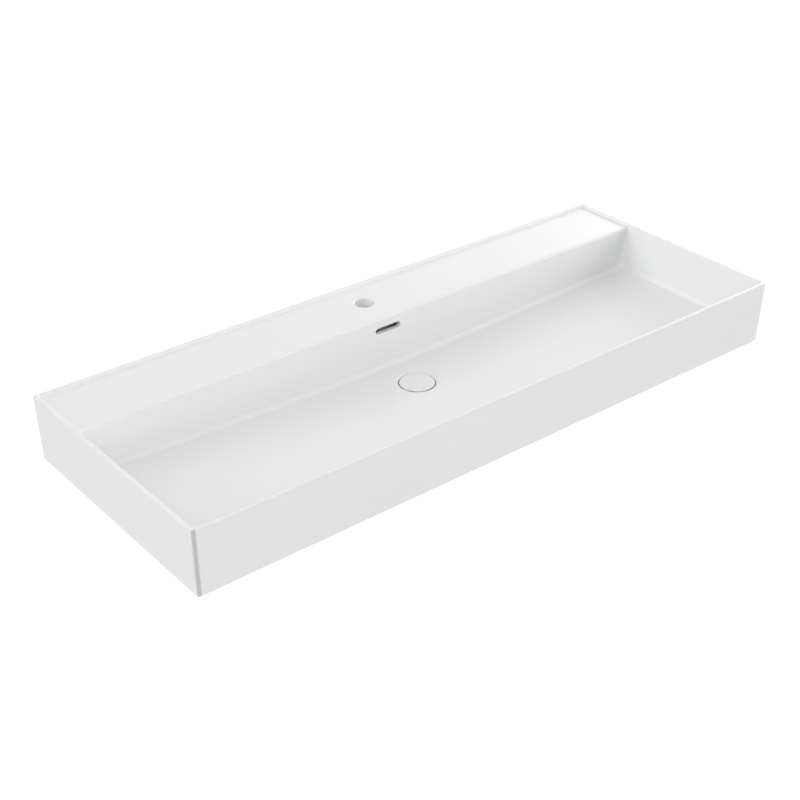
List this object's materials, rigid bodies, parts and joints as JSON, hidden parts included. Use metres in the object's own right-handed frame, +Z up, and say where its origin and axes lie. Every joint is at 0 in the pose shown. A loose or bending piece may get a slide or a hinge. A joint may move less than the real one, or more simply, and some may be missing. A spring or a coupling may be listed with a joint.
{
  "type": "washbasin",
  "caption": "Wide rectangular ceramic washbasin with a tap deck, a tap hole, an overflow slot and a push-open waste under a ceramic cap.",
  "frame": {"origin": "midway between the two fixing holes, on the back face that meets the wall", "axes": "+X along the width to the right as the user stands, +Y into the wall, +Z up"},
  "size_m": [1.1998, 0.4599, 0.179],
  "materials": {
    "glaze": "gloss white glaze",
    "cap_glaze": "gloss white glaze",
    "chrome": "polished plate",
    "seal_rubber": "matt",
    "acetal": "moulded",
    "brass": "machined",
    "spring_steel": "drawn wire",
    "washer_plastic": "moulded"
  },
  "bodies": {
    "basin_and_waste": {"basin": "glaze", "waste_body": "chrome", "cartridge_body": "brass", "cartridge_plug": "brass", "cartridge_spring": "spring_steel", "flange_gasket": "seal_rubber", "lower_gasket": "seal_rubber", "slip_washer": "washer_plastic", "backnut": "brass"},
    "plug": {"waste_cap": "cap_glaze", "cap_dish": "chrome", "cap_seal": "seal_rubber", "plunger": "acetal"},
    "index": {"index_ring": "acetal"}
  },
  "joints": [
    {"name": "plug_slide", "type": "slide", "parent": "basin_and_waste", "child": "plug", "axis": [0, 0, 1], "range_m": [-0.0012, 0.0085], "deforming": ["cartridge_spring"]},
    {"name": "index_turn", "type": "hinge", "parent": "basin_and_waste", "child": "index", "pos_m": [0, -0.209, -0.0825], "axis": [0, 0, 1], "range_deg": [-40, 6]}
  ],
  "couplings": [
    {"joint": "index_turn", "follows": "plug_slide", "rad_per_m": -80.969}
  ]
}
